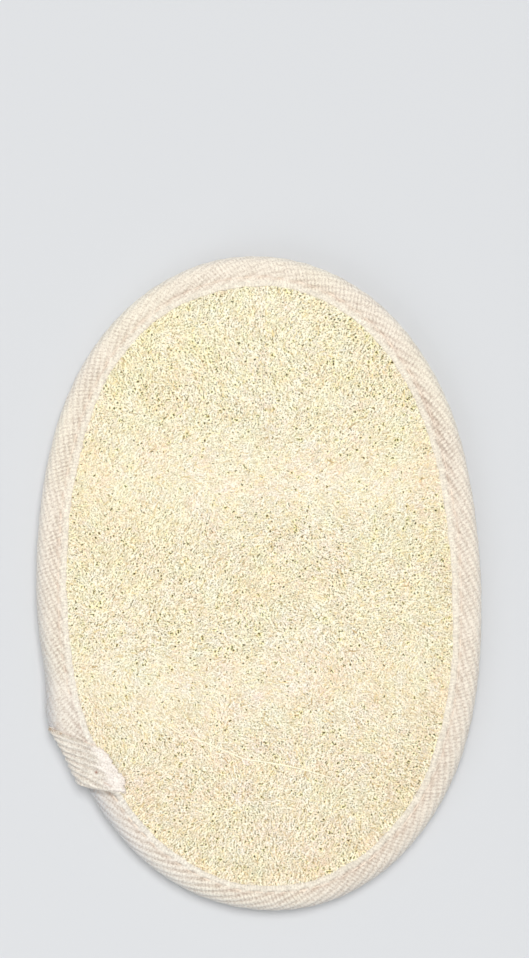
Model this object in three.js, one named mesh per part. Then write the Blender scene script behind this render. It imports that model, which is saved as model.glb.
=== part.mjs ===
// Natural loofah pad: an oval slab of pressed loofah fibre whose edge is bound
// with a folded cotton tape. The tape is sewn on with one row of stitching, and
// its end is turned back over the join at the lower left.
//
// Millimetres, +Z up. The pad lies on its back with the scrubbing face up,
// +Y towards the narrower end, origin under the middle of the outline's box.

import * as THREE from 'three';

// ---------------------------------------------------------------- dimensions

// Outline as radius over angle, r(a) = R0 + sum(C[k] cos ka + S[k] sin ka), k = 1..6
const OUTLINE_R0 = 60.385;
const OUTLINE_C = [-0.060, -11.683, -0.351, 0.942, 0.004, -0.016];
const OUTLINE_S = [0.284, -1.208, -0.183, 0.252, -0.045, 0.083];
const STATIONS = 88;              // stations round the outline

const EDGE_MID = 4.4;             // height of the middle of the bound edge
const LOOFAH_INSET = 1.45;        // loofah's rim, inside the outline
const PINCH = 1.75;               // half thickness of the loofah under the tape
const CROWN = 5.5;                // height of the face above the edge's middle

const TAPE_GAP = 0.25;            // air between tape and loofah
const TAPE_THICK = 0.85;          // woven cotton tape
const TAPE_FRONT = 6.55;          // tape on the face, from the outline inwards
const TAPE_BACK = 6.35;           // tape on the back
const TAPE_BUTT = 0.7;            // gap between the two ends, under the wrap

const SEAM_IN = 4.7;              // stitch row, from the outline inwards
const FURROW = 0.36;              // depth of the furrow that the stitches pull
const FURROW_HALF = 0.85;         // half its width
const THREAD_R = 0.17;            // sewing thread
const THREAD_CLEAR = 0.1;         // thread over the bottom of the furrow

const WRAP_ANGLE = 222.7;         // middle of the turned-back end, degrees from +X
const WRAP_HALF = 6.2;            // half its width along the edge
const WRAP_SHEAR = 0.58;          // how far it leans along the edge for each mm of its length
const WRAP_THICK = 0.85;
const WRAP_DOUBLE = 0.8;          // the layer folded under it at the outline
const WRAP_GAP = 0.22;
const WRAP_FRONT = 8.2;           // its reach over the face, less at its corners
const WRAP_BACK = 6.9;            // its reach under the back

// ------------------------------------------------------------------ materials

const finish = (name, color, roughness) =>
  new THREE.MeshStandardMaterial({ name, color, roughness, metalness: 0 });
const LOOFAH = finish('loofah', 0xf1e4ba, 0.86);
const TAPE = finish('cotton_tape', 0xf4e8da, 0.9);
const WRAP = finish('cotton_tape_end', 0xf4e8da, 0.9);
const THREAD_A = finish('thread_face', 0xf6eee2, 0.7);
const THREAD_B = finish('thread_back', 0xf6eee2, 0.7);

// -------------------------------------------------------------------- outline

const radius = (a) => OUTLINE_C.reduce(
  (r, c, k) => r + c * Math.cos((k + 1) * a) + OUTLINE_S[k] * Math.sin((k + 1) * a),
  OUTLINE_R0);
const rim = (a) => new THREE.Vector2(radius(a) * Math.cos(a), radius(a) * Math.sin(a));
const inward = (a) => {
  const e = 1e-4, t = rim(a + e).sub(rim(a - e)).normalize();
  return new THREE.Vector2(-t.y, t.x);
};

// The middle of the outline's box, which the frame's origin lies under
const MIDDLE = (() => {
  const box = new THREE.Box2();
  for (let i = 0; i < 3600; i++) box.expandByPoint(rim(i * Math.PI / 1800));
  return box.getCenter(new THREE.Vector2());
})();

// A point at depth d inside the outline, at height z over the table
const at = (a, d, z) => {
  const p = rim(a).addScaledVector(inward(a), d).sub(MIDDLE);
  return [p.x, p.y, z];
};
const TURN = 2 * Math.PI;
const stations = Array.from({ length: STATIONS }, (_, i) => i / STATIONS * TURN);

// Arc length along the outline, for placing the ends and the wrap
const ARC = (() => {
  const steps = 7200, out = [0];
  for (let i = 1; i <= steps; i++) {
    out.push(out[i - 1] + rim(i / steps * TURN).distanceTo(rim((i - 1) / steps * TURN)));
  }
  return out;
})();
const PERIMETER = ARC[ARC.length - 1];
const arcAt = (a) => {
  const turns = Math.floor(a / TURN), x = (a / TURN - turns) * (ARC.length - 1);
  const i = Math.min(Math.floor(x), ARC.length - 2);
  return turns * PERIMETER + ARC[i] + (x - i) * (ARC[i + 1] - ARC[i]);
};
const angleAt = (s) => {
  const turns = Math.floor(s / PERIMETER), rest = s - turns * PERIMETER;
  let lo = 0, hi = ARC.length - 1;
  while (hi - lo > 1) {
    const mid = (lo + hi) >> 1;
    if (ARC[mid] <= rest) lo = mid; else hi = mid;
  }
  return (turns + (lo + (rest - ARC[lo]) / (ARC[hi] - ARC[lo])) / (ARC.length - 1)) * TURN;
};
const JOIN = arcAt(WRAP_ANGLE * Math.PI / 180);

// ------------------------------------------------------------ section profiles

// Smooth line through [depth, height] points
const through = (points) => {
  const line = new THREE.SplineCurve(points.map(([x, y]) => new THREE.Vector2(x, y)))
    .getPoints(400);
  return (x) => {
    let i = line.findIndex((p) => p.x >= x);
    if (i < 0) return line[line.length - 1].y;
    if (i === 0) return line[0].y;
    const p = line[i - 1], q = line[i];
    return p.y + (q.y - p.y) * (x - p.x) / (q.x - p.x);
  };
};

// Loofah's face and back over the depth from the outline, from the edge's middle
const FACE_RISE = through([[2.6, PINCH], [4.5, PINCH], [6.3, PINCH + 0.12], [7.4, 2.55],
  [9.2, 3.35], [12.5, 4.15], [18, 4.72], [28, 5.16], [48, CROWN]]);
const BACK_DROP = through([[2.6, PINCH], [4.5, PINCH], [6.3, PINCH + 0.15], [7.4, 2.5],
  [9.2, 3.4], [11.5, 4.02], [14, EDGE_MID], [60, EDGE_MID]]);

// Tape's outer side, from its edge on the face round the outline to its edge on the back
const furrowed = (d) => FURROW * Math.exp(-(((d - SEAM_IN) / FURROW_HALF) ** 2) * 2);
const NOSE = PINCH + TAPE_GAP + TAPE_THICK;
const tapeSection = (side) => {
  // side 1 is the outer side, 0 the inner one; points are [depth, height]
  const shrink = side ? 0 : TAPE_THICK, half = NOSE - shrink;
  const flat = [1, 0.86, 0.72, 0.57, 0.32].map((f) => f * TAPE_FRONT);
  const up = (d) => [d, EDGE_MID + half + 0.1 * Math.max(0, (d - 5) / 1.5)
    - (side ? 1 : 0.35) * furrowed(d)];
  const down = (d) => [d, EDGE_MID - half - 0.1 * Math.max(0, (d - 5) / 1.5)
    + (side ? 1 : 0.35) * furrowed(d)];
  const nose = [68, 34, 0, -34, -68].map((deg) => {
    const t = deg * Math.PI / 180;
    return [shrink + (1.8 - shrink) * (1 - Math.cos(t)), EDGE_MID + half * Math.sin(t)];
  });
  const back = flat.map((d) => d * TAPE_BACK / TAPE_FRONT).reverse();
  return [...flat.map(up), ...nose, ...back.map(down)];
};

// -------------------------------------------------------------- mesh builders

const meshOf = (name, material, points, faces) => {
  const geometry = new THREE.BufferGeometry();
  geometry.setAttribute('position', new THREE.Float32BufferAttribute(points.flat(), 3));
  geometry.setIndex(faces.flat());
  geometry.computeVertexNormals();
  const mesh = new THREE.Mesh(geometry, material);
  mesh.name = name;
  return mesh;
};

// Faces between rows of equal length; each row may close on itself, and so may the rows
const skin = (rows, length, rowClosed, rowsClosed) => {
  const faces = [];
  const along = rowClosed ? length : length - 1, over = rowsClosed ? rows : rows - 1;
  for (let r = 0; r < over; r++) {
    for (let i = 0; i < along; i++) {
      const a = r * length + i, b = r * length + (i + 1) % length;
      const c = ((r + 1) % rows) * length + (i + 1) % length, d = ((r + 1) % rows) * length + i;
      faces.push([a, b, c], [a, c, d]);
    }
  }
  return faces;
};

// A closed section carried along stations: section(k) gives row k's points
const carried = (name, material, rows, closed) => {
  const length = rows[0].length, points = rows.flat();
  const faces = skin(rows.length, length, true, closed);
  if (!closed) {
    const flat = rows[0].map((_, i) => i);
    const half = length / 2;   // outer side first, then the inner side backwards
    for (let i = 0; i < half - 1; i++) {
      const [a, b, c, d] = [i, i + 1, length - 2 - i, length - 1 - i].map((x) => flat[x]);
      faces.push([a, c, b], [a, d, c]);
      const last = (rows.length - 1) * length;
      faces.push([last + a, last + b, last + c], [last + a, last + c, last + d]);
    }
  }
  return meshOf(name, material, points, faces);
};

// ----------------------------------------------------------------- loofah pad

const loofahPad = () => {
  // Rings from the middle of the face out over the rim to the middle of the back
  const near = [12.5, 9.2, 7.4, 6.3, 4.5, 2.6];
  const deep = [0.3, 0.55, 0.78];
  const hub = 12.5;
  const points = [[0, 0, EDGE_MID + CROWN]], ring = [];
  const width = 48;   // depth that stands for the middle
  const push = (f) => { ring.push(points.length); stations.forEach((a) => points.push(f(a))); };
  const inner = (k, z) => (a) => {
    const [x, y] = at(a, hub, 0);
    return [x * k, y * k, z];
  };
  deep.forEach((k) => push(inner(k, EDGE_MID + FACE_RISE(hub + (width - hub) * (1 - k)))));
  near.forEach((d) => push((a) => at(a, d, EDGE_MID + FACE_RISE(d))));
  push((a) => at(a, LOOFAH_INSET, EDGE_MID + PINCH * 0.42));
  push((a) => at(a, LOOFAH_INSET, EDGE_MID - PINCH * 0.42));
  const under = [2.6, 4.5, 6.3, 7.4, 9.2, 11.5, 14];
  under.forEach((d) => push((a) => at(a, d, EDGE_MID - BACK_DROP(d))));
  push((a) => { const [x, y] = at(a, 14, 0); return [x * 0.5, y * 0.5, 0]; });
  const last = points.length;
  points.push([0, 0, 0]);
  const n = STATIONS, faces = [];
  for (let i = 0; i < n; i++) {
    const j = (i + 1) % n;
    faces.push([0, ring[0] + i, ring[0] + j]);
    for (let r = 0; r + 1 < ring.length; r++) {
      const [p, q] = [ring[r], ring[r + 1]];
      faces.push([p + i, q + i, q + j], [p + i, q + j, p + j]);
    }
    const e = ring[ring.length - 1];
    faces.push([e + i, last, e + j]);
  }
  return meshOf('loofah_pad', LOOFAH, points, faces);
};

// --------------------------------------------------------------- binding tape

const bindingTape = () => {
  const section = [...tapeSection(1), ...tapeSection(0).reverse()];
  const from = JOIN + TAPE_BUTT / 2, to = JOIN + PERIMETER - TAPE_BUTT / 2;
  const rows = [];
  for (let i = 0; i <= STATIONS; i++) {
    const a = angleAt(from + (to - from) * i / STATIONS);
    rows.push(section.map(([d, z]) => at(a, d, z)));
  }
  return carried('binding_tape', TAPE, rows, false);
};

// ------------------------------------------------------------- stitched threads

const seamThread = (name, material, side) => {
  const z = EDGE_MID + side * (NOSE - FURROW + THREAD_R + THREAD_CLEAR);
  const d = SEAM_IN * (side > 0 ? 1 : TAPE_BACK / TAPE_FRONT);
  const sides = 6, rows = [];
  // It stops at the turned-back end, which covers the row there
  const gap = WRAP_HALF + 1.2, shift = (WRAP_SHEAR * side) * SEAM_IN;
  const from = JOIN + shift + gap, to = JOIN + shift + PERIMETER - gap;
  for (let i = 0; i <= STATIONS; i++) {
    const a = angleAt(from + (to - from) * i / STATIONS);
    rows.push(Array.from({ length: sides }, (_, k) => {
      const t = k / sides * TURN;
      return at(a, d + THREAD_R * Math.cos(t), z + THREAD_R * Math.sin(t));
    }));
  }
  return carried(name, material, rows, false);
};

// ------------------------------------------------------------- turned-back end

const tapeEnd = () => {
  // Inner side of the wrap: clear of both the tape and the loofah's rise
  const face = (d) => Math.max(NOSE + 0.1 * Math.max(0, (d - 5) / 1.5),
    d > 6 ? FACE_RISE(d) : 0) + WRAP_GAP;
  const back = (d) => Math.max(NOSE + 0.1 * Math.max(0, (d - 5) / 1.5),
    d > 6 ? BACK_DROP(d) : 0) + WRAP_GAP;
  const profile = (thick, front) => {
    const over = [1, 0.87, 0.74, 0.6, 0.45, 0.3].map((f) => f * front);
    const rear = [0.3, 0.5, 0.75, 1].map((f) => f * WRAP_BACK);
    const half = NOSE + WRAP_GAP + thick, out = WRAP_GAP + thick + (thick ? WRAP_DOUBLE : 0);
    const nose = [70, 45, 22, 0, -22, -45, -70].map((deg) => {
      const t = deg * Math.PI / 180;
      return [-out + (1.8 + out) * (1 - Math.cos(t)), EDGE_MID + half * Math.sin(t)];
    });
    return [...over.map((d) => [d, EDGE_MID + face(d) + thick]), ...nose,
      ...rear.map((d) => [d, EDGE_MID - back(d) - thick])];
  };
  // Lean: the strip crosses the edge at a slant, so its place along the edge
  // follows the way round the section from face to back
  const section = (u) => {
    const front = WRAP_FRONT - 0.9 * u * u - 0.5 * u;
    const outer = profile(WRAP_THICK, front), under = profile(0, front), reach = [0];
    for (let i = 1; i < outer.length; i++) {
      reach.push(reach[i - 1] + Math.hypot(outer[i][0] - outer[i - 1][0], outer[i][1] - outer[i - 1][1]));
    }
    const row = (profile) => profile.map(([d, z], i) =>
      at(angleAt(JOIN + WRAP_HALF * u + WRAP_SHEAR * (reach[9] - reach[i])), d, z));
    return [...row(outer), ...row(under).reverse()];
  };
  const rows = [], steps = 8;
  for (let i = 0; i <= steps; i++) rows.push(section(2 * i / steps - 1));
  return carried('tape_end_wrap', WRAP, rows, false);
};

// ------------------------------------------------------------------- assembly

const loofah_sponge = new THREE.Group();
loofah_sponge.name = 'loofah_sponge';
loofah_sponge.add(
  loofahPad(),
  bindingTape(),
  tapeEnd(),
  seamThread('seam_thread_face', THREAD_A, 1),
  seamThread('seam_thread_back', THREAD_B, -1),
);

export default loofah_sponge;
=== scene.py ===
"""Looks for the oval loofah pad: a mat of real fibre strands, a woven cotton
tape folded over the edge, its turned-back end and the two rows of stitches."""

import math

import bpy
import numpy as np
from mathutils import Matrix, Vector


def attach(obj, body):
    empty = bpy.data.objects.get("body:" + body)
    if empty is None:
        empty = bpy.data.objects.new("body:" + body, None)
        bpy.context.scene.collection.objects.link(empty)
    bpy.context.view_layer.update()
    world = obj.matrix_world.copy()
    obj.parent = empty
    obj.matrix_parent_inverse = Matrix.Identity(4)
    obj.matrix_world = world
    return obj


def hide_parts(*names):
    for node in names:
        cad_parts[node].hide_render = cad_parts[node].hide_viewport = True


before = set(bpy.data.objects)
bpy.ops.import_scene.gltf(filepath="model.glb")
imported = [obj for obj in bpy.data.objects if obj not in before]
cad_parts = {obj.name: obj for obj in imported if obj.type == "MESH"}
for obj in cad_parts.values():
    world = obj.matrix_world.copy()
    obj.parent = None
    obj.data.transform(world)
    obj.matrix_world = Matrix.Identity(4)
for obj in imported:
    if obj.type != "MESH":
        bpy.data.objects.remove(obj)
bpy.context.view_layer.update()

MM = 0.001
TURN = 2 * math.pi

# ------------------------------------------------------------ shape, as in CAD

OUTLINE_R0 = 60.385
OUTLINE_C = np.array([-0.060, -11.683, -0.351, 0.942, 0.004, -0.016])
OUTLINE_S = np.array([0.284, -1.208, -0.183, 0.252, -0.045, 0.083])
WAVES = np.arange(1, 7)

EDGE_MID = 4.4
PINCH = 1.75
CROWN = 5.5
TAPE_GAP = 0.25
TAPE_THICK = 0.85
TAPE_FRONT = 6.55
TAPE_BACK = 6.35
NOSE = PINCH + TAPE_GAP + TAPE_THICK
NOSE_IN = 1.8
ROLL_IN = 3.2
SEAM_IN = 4.7
WRAP_ANGLE = 222.7
WRAP_HALF = 6.2
WRAP_SHEAR = 0.58
WRAP_FRONT = 8.2
WRAP_BACK = 6.9


def radius(a):
    a = np.asarray(a, float)[..., None] * WAVES
    return OUTLINE_R0 + np.cos(a) @ OUTLINE_C + np.sin(a) @ OUTLINE_S


def rim(a):
    r = radius(a)
    return np.stack([r * np.cos(a), r * np.sin(a)], -1)


def inward(a):
    t = rim(np.asarray(a) + 1e-4) - rim(np.asarray(a) - 1e-4)
    t /= np.linalg.norm(t, axis=-1, keepdims=True)
    return np.stack([-t[..., 1], t[..., 0]], -1)


FINE = np.linspace(0, TURN, 7201)
RIM = rim(FINE)
ARC = np.concatenate([[0], np.cumsum(np.linalg.norm(np.diff(RIM, axis=0), axis=1))])
PERIMETER = float(ARC[-1])
MIDDLE = (RIM.min(0) + RIM.max(0)) / 2


def angle_at(s):
    turns = np.floor(np.asarray(s, float) / PERIMETER)
    return turns * TURN + np.interp(s - turns * PERIMETER, ARC, FINE)


def spot(s, d):
    """The point at arc length s along the outline and depth d inside it, in mm."""
    a = angle_at(s)
    return rim(a) + inward(a) * np.asarray(d, float)[..., None] - MIDDLE


JOIN = float(np.interp(math.radians(WRAP_ANGLE), FINE, ARC))
JOIN_NOSE = JOIN - 1.1


def through(points):
    p = np.array(points, float)
    m = len(p) - 1
    t = np.linspace(0, m, 400)
    i = np.minimum(t.astype(int), m - 1)
    w = (t - i)[:, None]
    p0, p1, p2, p3 = p[np.maximum(i - 1, 0)], p[i], p[i + 1], p[np.minimum(i + 2, m)]
    v0, v1 = (p2 - p0) / 2, (p3 - p1) / 2
    line = (2 * p1 - 2 * p2 + v0 + v1) * w**3 + (3 * p2 - 3 * p1 - 2 * v0 - v1) * w**2 + v0 * w + p1
    return lambda x: np.interp(x, line[:, 0], line[:, 1])


FACE_RISE = through([[2.6, PINCH], [4.5, PINCH], [6.3, PINCH + 0.12], [7.4, 2.55],
                     [9.2, 3.35], [12.5, 4.15], [18, 4.72], [28, 5.16], [48, CROWN]])
BACK_DROP = through([[2.6, PINCH], [4.5, PINCH], [6.3, PINCH + 0.15], [7.4, 2.5],
                     [9.2, 3.4], [11.5, 4.02], [14, EDGE_MID], [60, EDGE_MID]])


def depth_of(xy):
    """Depth inside the outline, and the depth that sets the crown's height."""
    p = xy + MIDDLE
    a = np.arctan2(p[..., 1], p[..., 0])
    r, far = np.linalg.norm(p, axis=-1), radius(a)
    lean = -(inward(a) * np.stack([np.cos(a), np.sin(a)], -1)).sum(-1)
    d = (far - r) * lean
    k = np.clip(r / (far - 12.5 / lean), 0, 1)
    return d, np.where(d < 12.5, d, 12.5 + 35.5 * (1 - k))


def seam_place(xy):
    """Arc length and depth of places near the outline."""
    p = xy + MIDDLE
    a = np.arctan2(p[..., 1], p[..., 0])
    for _ in range(5):
        t = (rim(a + 1e-4) - rim(a - 1e-4)) / 2e-4
        a = a + ((p - rim(a)) * t).sum(-1) / (t * t).sum(-1)
    return np.interp(a % TURN, FINE, ARC), ((p - rim(a)) * inward(a)).sum(-1)


REACH = np.array([[0, 6.52], [20, 6.70], [38, 6.55], [80, 6.50], [105, 6.86], [135, 6.24], [165, 6.66], [206, 6.64],
                  [228, 5.80], [262, 5.72], [288, 5.64], [310, 5.74], [334, 5.95], [354, 6.30], [378, 6.34]])


def front_reach(s):
    """How far in the tape's edge on the face lies: narrower along the lower end, and a little wavy."""
    s = np.asarray(s) % PERIMETER
    broad = np.interp(s, REACH[:, 0], REACH[:, 1], period=PERIMETER)
    return broad + (lattice(s, s * 0, 7.0, 201) - 0.5) * 0.26 + (lattice(s, s * 0, 1.7, 202) - 0.5) * 0.24


def seam_in(s):
    """The depth of the row of stitches on the face, which keeps its distance from the tape's edge."""
    broad = np.interp(np.asarray(s) % PERIMETER, REACH[:, 0], REACH[:, 1], period=PERIMETER)
    return SEAM_IN + 0.75 * (broad - TAPE_FRONT)


def past_tape(xy):
    """How far inside the tape's edge places are, and far inside simply a large number."""
    d = depth_of(xy)[0]
    e = np.full(d.shape, 20.0)
    near = d < 11
    s, own = seam_place(xy[near])
    e[near] = own - front_reach(s)
    return e


def face_z(xy):
    """The loofah's face, which comes up beside the tape's edge nearly level with it."""
    lip = 1.70 + 1.20 * ease(past_tape(xy), -0.50, -0.08)
    return EDGE_MID + np.where(lip > 2.7, np.maximum(FACE_RISE(depth_of(xy)[1]), lip), lip)


def back_z(xy):
    return EDGE_MID - BACK_DROP(depth_of(xy)[0])


def lattice(x, y, cell, seed):
    """Smooth noise from 0 to 1 with features about one cell across."""
    g = np.random.default_rng(seed).random((128, 128))
    u, v = np.asarray(x) / cell + 500, np.asarray(y) / cell + 500
    i, j = np.floor(u).astype(int), np.floor(v).astype(int)
    f, h = u - i, v - j
    f, h = f * f * (3 - 2 * f), h * h * (3 - 2 * h)
    i, j, i1, j1 = i % 128, j % 128, (i + 1) % 128, (j + 1) % 128
    return (g[i, j] * (1 - f) + g[i1, j] * f) * (1 - h) + (g[i, j1] * (1 - f) + g[i1, j1] * f) * h


def cloud(x, y, cell, seed):
    return (lattice(x, y, cell, seed) * 0.55 + lattice(x, y, cell / 2.1, seed + 1) * 0.3
            + lattice(x, y, cell / 4.3, seed + 2) * 0.15)


def soften(field, cells):
    """A grid's values averaged over about this many cells."""
    k = np.arange(-int(3 * cells) - 1, int(3 * cells) + 2)
    k = np.exp(-((k / cells) ** 2) / 2)
    k /= k.sum()
    half = len(k) // 2
    for axis in (0, 1):
        wide = [(half, half) if a == axis else (0, 0) for a in range(field.ndim)]
        padded = np.pad(field, wide, mode="edge")
        field = sum(w * np.take(padded, np.arange(field.shape[axis]) + i, axis=axis) for i, w in enumerate(k))
    return field


def linear(*rgb):
    """sRGB numbers from 0 to 255 as linear colour."""
    c = np.array(rgb, float) / 255
    return np.where(c <= 0.04045, c / 12.92, ((c + 0.055) / 1.055) ** 2.4)


def ease(x, low, high):
    t = np.clip((np.asarray(x, float) - low) / (high - low), 0, 1)
    return t * t * (3 - 2 * t)


# -------------------------------------------------------------- mesh building


def mesh_object(name, points, corners, totals, uv=None, tint=None, weave=None, dots=None, smooth=True):
    """An object from points in mm, its faces' corners one after another and each face's corner count."""
    me = bpy.data.meshes.new(name)
    points = np.asarray(points, np.float32).reshape(-1, 3) * MM
    corners, totals = np.asarray(corners, np.int32).ravel(), np.asarray(totals, np.int32).ravel()
    me.vertices.add(len(points))
    me.vertices.foreach_set("co", points.ravel())
    me.loops.add(len(corners))
    me.loops.foreach_set("vertex_index", corners)
    me.polygons.add(len(totals))
    me.polygons.foreach_set("loop_start", np.concatenate([[0], np.cumsum(totals)[:-1]]).astype(np.int32))
    me.polygons.foreach_set("use_smooth", np.full(len(totals), smooth))
    for title, values in (("OFBake", uv), ("weave", weave)):
        if values is not None:
            layer = me.uv_layers.new(name=title, do_init=False)
            layer.uv.foreach_set("vector", np.asarray(values, np.float32).ravel())
    me.update(calc_edges=True)
    if tint is not None:
        layer = me.color_attributes.new("tint", "FLOAT_COLOR", "POINT")
        rgba = np.ones((len(points), 4), np.float32)
        rgba[:, :np.shape(tint)[-1]] = tint
        layer.data.foreach_set("color", rgba.ravel())
    if dots is not None:
        layer = me.attributes.new("dots", "FLOAT", "POINT")
        layer.data.foreach_set("value", np.asarray(dots, np.float32).ravel())
    me.validate(clean_customdata=False)
    ob = bpy.data.objects.new(name, me)
    bpy.context.scene.collection.objects.link(ob)
    return ob


def strands(name, line, thick, tint, sides=3, roll=None):
    """One closed tube along each line. line is (n, k, 3) in mm, thick (n, k) its radius and tint (n, k, 3)."""
    n, k, _ = line.shape
    along = np.gradient(line, axis=1)
    along /= np.maximum(np.linalg.norm(along, axis=2, keepdims=True), 1e-9)
    side = np.cross(along, np.array([0.0, 0.0, 1.0]))
    side /= np.maximum(np.linalg.norm(side, axis=2, keepdims=True), 1e-9)
    over = np.cross(side, along)
    turn = np.arange(sides) / sides * TURN
    turn = turn[None, :] + (np.zeros(n) if roll is None else roll)[:, None]
    ring = (side[:, :, None] * np.cos(turn)[:, None, :, None] + over[:, :, None] * np.sin(turn)[:, None, :, None])
    points = line[:, :, None] + ring * thick[:, :, None, None]
    at = np.arange(n * k * sides).reshape(n, k, sides)
    nxt = np.roll(at, -1, axis=2)
    quads = np.stack([at[:, :-1], nxt[:, :-1], nxt[:, 1:], at[:, 1:]], -1)[:, :, :, ::-1]
    caps = np.stack([at[:, 0], at[:, -1, ::-1]], 1)
    per = int(math.ceil(math.sqrt(n)))
    cell = np.stack([np.arange(n) % per, np.arange(n) // per], -1) / per
    t = np.linspace(0.08, 0.92, k)
    v = np.linspace(0.1, 0.9, sides + 1)
    grid = np.stack(np.meshgrid(t, v, indexing="ij"), -1) / per  # k, sides + 1, 2
    square = np.stack([grid[:-1, :-1], grid[:-1, 1:], grid[1:, 1:], grid[1:, :-1]], 2)[:, :, ::-1]
    uv_quads = cell[:, None, None, None] + square[None]
    hub = 0.04 * np.stack([np.cos(np.arange(sides) / sides * TURN), np.sin(np.arange(sides) / sides * TURN)], -1)
    ends = np.stack([hub + (0.04, 0.5), hub[::-1] + (0.96, 0.5)]) / per
    uv_caps = cell[:, None, None] + ends[None]
    corners = np.concatenate([quads.reshape(-1), caps.reshape(-1)])
    totals = np.concatenate([np.full(quads.size // 4, 4), np.full(n * 2, sides)])
    uv = np.concatenate([uv_quads.reshape(-1, 2), uv_caps.reshape(-1, 2)])
    colours = np.repeat(tint[:, :, None], sides, axis=2).reshape(-1, 3)
    return mesh_object(name, points, corners, totals, uv, colours)


def grid_faces(rows, length, closed_rows=False):
    """Quads over rows of a closed section."""
    over = rows if closed_rows else rows - 1
    r, i = np.meshgrid(np.arange(over), np.arange(length), indexing="ij")
    j, q = (i + 1) % length, (r + 1) % rows
    return np.stack([r * length + i, r * length + j, q * length + j, q * length + i], -1)


# ------------------------------------------------------------------ materials


def material(name):
    m = bpy.data.materials.new(name)
    m.use_nodes = True
    nt = m.node_tree
    nt.nodes.clear()
    out = nt.nodes.new("ShaderNodeOutputMaterial")
    shader = nt.nodes.new("ShaderNodeBsdfPrincipled")
    nt.links.new(shader.outputs[0], out.inputs["Surface"])
    return m, nt, shader


def node(nt, kind, **settings):
    n = nt.nodes.new("ShaderNode" + kind)
    for k, v in settings.items():
        setattr(n, k, v)
    return n


def put(nt, socket, value):
    if isinstance(value, bpy.types.NodeSocket):
        nt.links.new(value, socket)
    else:
        socket.default_value = value


def math_node(nt, operation, a, b=None, c=None, clamp=False):
    n = node(nt, "Math", operation=operation, use_clamp=clamp)
    for i, x in enumerate((a, b, c)):
        if x is not None:
            put(nt, n.inputs[i], x)
    return n.outputs[0]


def mix_colour(nt, factor, a, b, blend="MIX"):
    n = node(nt, "Mix", data_type="RGBA", blend_type=blend)
    put(nt, n.inputs["Factor"], factor)
    put(nt, n.inputs[6], a)
    put(nt, n.inputs[7], b)
    return n.outputs[2]


def ramp(nt, value, stops):
    n = node(nt, "ValToRGB")
    e = n.color_ramp.elements
    while len(e) < len(stops):
        e.new(0.5)
    for x, (place, colour) in zip(e, stops):
        x.position = place
        x.color = (*colour, 1)
    put(nt, n.inputs[0], value)
    return n.outputs[0]


def noise(nt, scale, detail=2.0, rough=0.5, place=None, distortion=0.0):
    n = node(nt, "TexNoise")
    if place is None:
        place = node(nt, "TexCoord").outputs["Object"]
    put(nt, n.inputs["Vector"], place)
    n.inputs["Scale"].default_value = scale
    n.inputs["Detail"].default_value = detail
    n.inputs["Roughness"].default_value = rough
    n.inputs["Distortion"].default_value = distortion
    return n.outputs["Fac"]


def fibre_material(name, rough=0.62):
    m, nt, sh = material(name)
    tint = node(nt, "Attribute", attribute_name="tint").outputs["Color"]
    grain = noise(nt, 2600, 2.0, 0.6)
    tone = math_node(nt, "MULTIPLY_ADD", grain, 0.34, 0.83)
    shade = node(nt, "CombineColor")
    for i in range(3):
        put(nt, shade.inputs[i], tone)
    put(nt, sh.inputs["Base Color"], mix_colour(nt, 1.0, tint, shade.outputs[0], "MULTIPLY"))
    sh.inputs["Specular IOR Level"].default_value = 0.12
    put(nt, sh.inputs["Roughness"], math_node(nt, "MULTIPLY_ADD", grain, 0.2, rough - 0.1))
    bump = node(nt, "Bump")
    bump.inputs["Strength"].default_value = 0.25
    bump.inputs["Distance"].default_value = 0.00005
    put(nt, bump.inputs["Height"], grain)
    put(nt, sh.inputs["Normal"], bump.outputs[0])
    return m


def mat_material(name):
    """The mat below the top strands: tan, with pores and a felted grain."""
    m, nt, sh = material(name)
    place = node(nt, "TexCoord").outputs["Object"]
    fine = noise(nt, 1900, 3.0, 0.65, place, 0.6)
    broad = noise(nt, 90, 3.0, 0.5, place)
    tone = math_node(nt, "ADD", math_node(nt, "MULTIPLY", fine, 0.8), math_node(nt, "MULTIPLY", broad, 0.2))
    colour = ramp(nt, tone, [(0.30, linear(172, 154, 110)), (0.46, linear(206, 189, 144)),
                             (0.60, linear(230, 214, 172)), (0.72, linear(242, 229, 190))])
    put(nt, sh.inputs["Base Color"], colour)
    sh.inputs["Specular IOR Level"].default_value = 0.2
    put(nt, sh.inputs["Roughness"], math_node(nt, "MULTIPLY_ADD", fine, 0.2, 0.75))
    bump = node(nt, "Bump")
    bump.inputs["Strength"].default_value = 0.6
    bump.inputs["Distance"].default_value = 0.0002
    put(nt, bump.inputs["Height"], fine)
    put(nt, sh.inputs["Normal"], bump.outputs[0])
    return m


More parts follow.
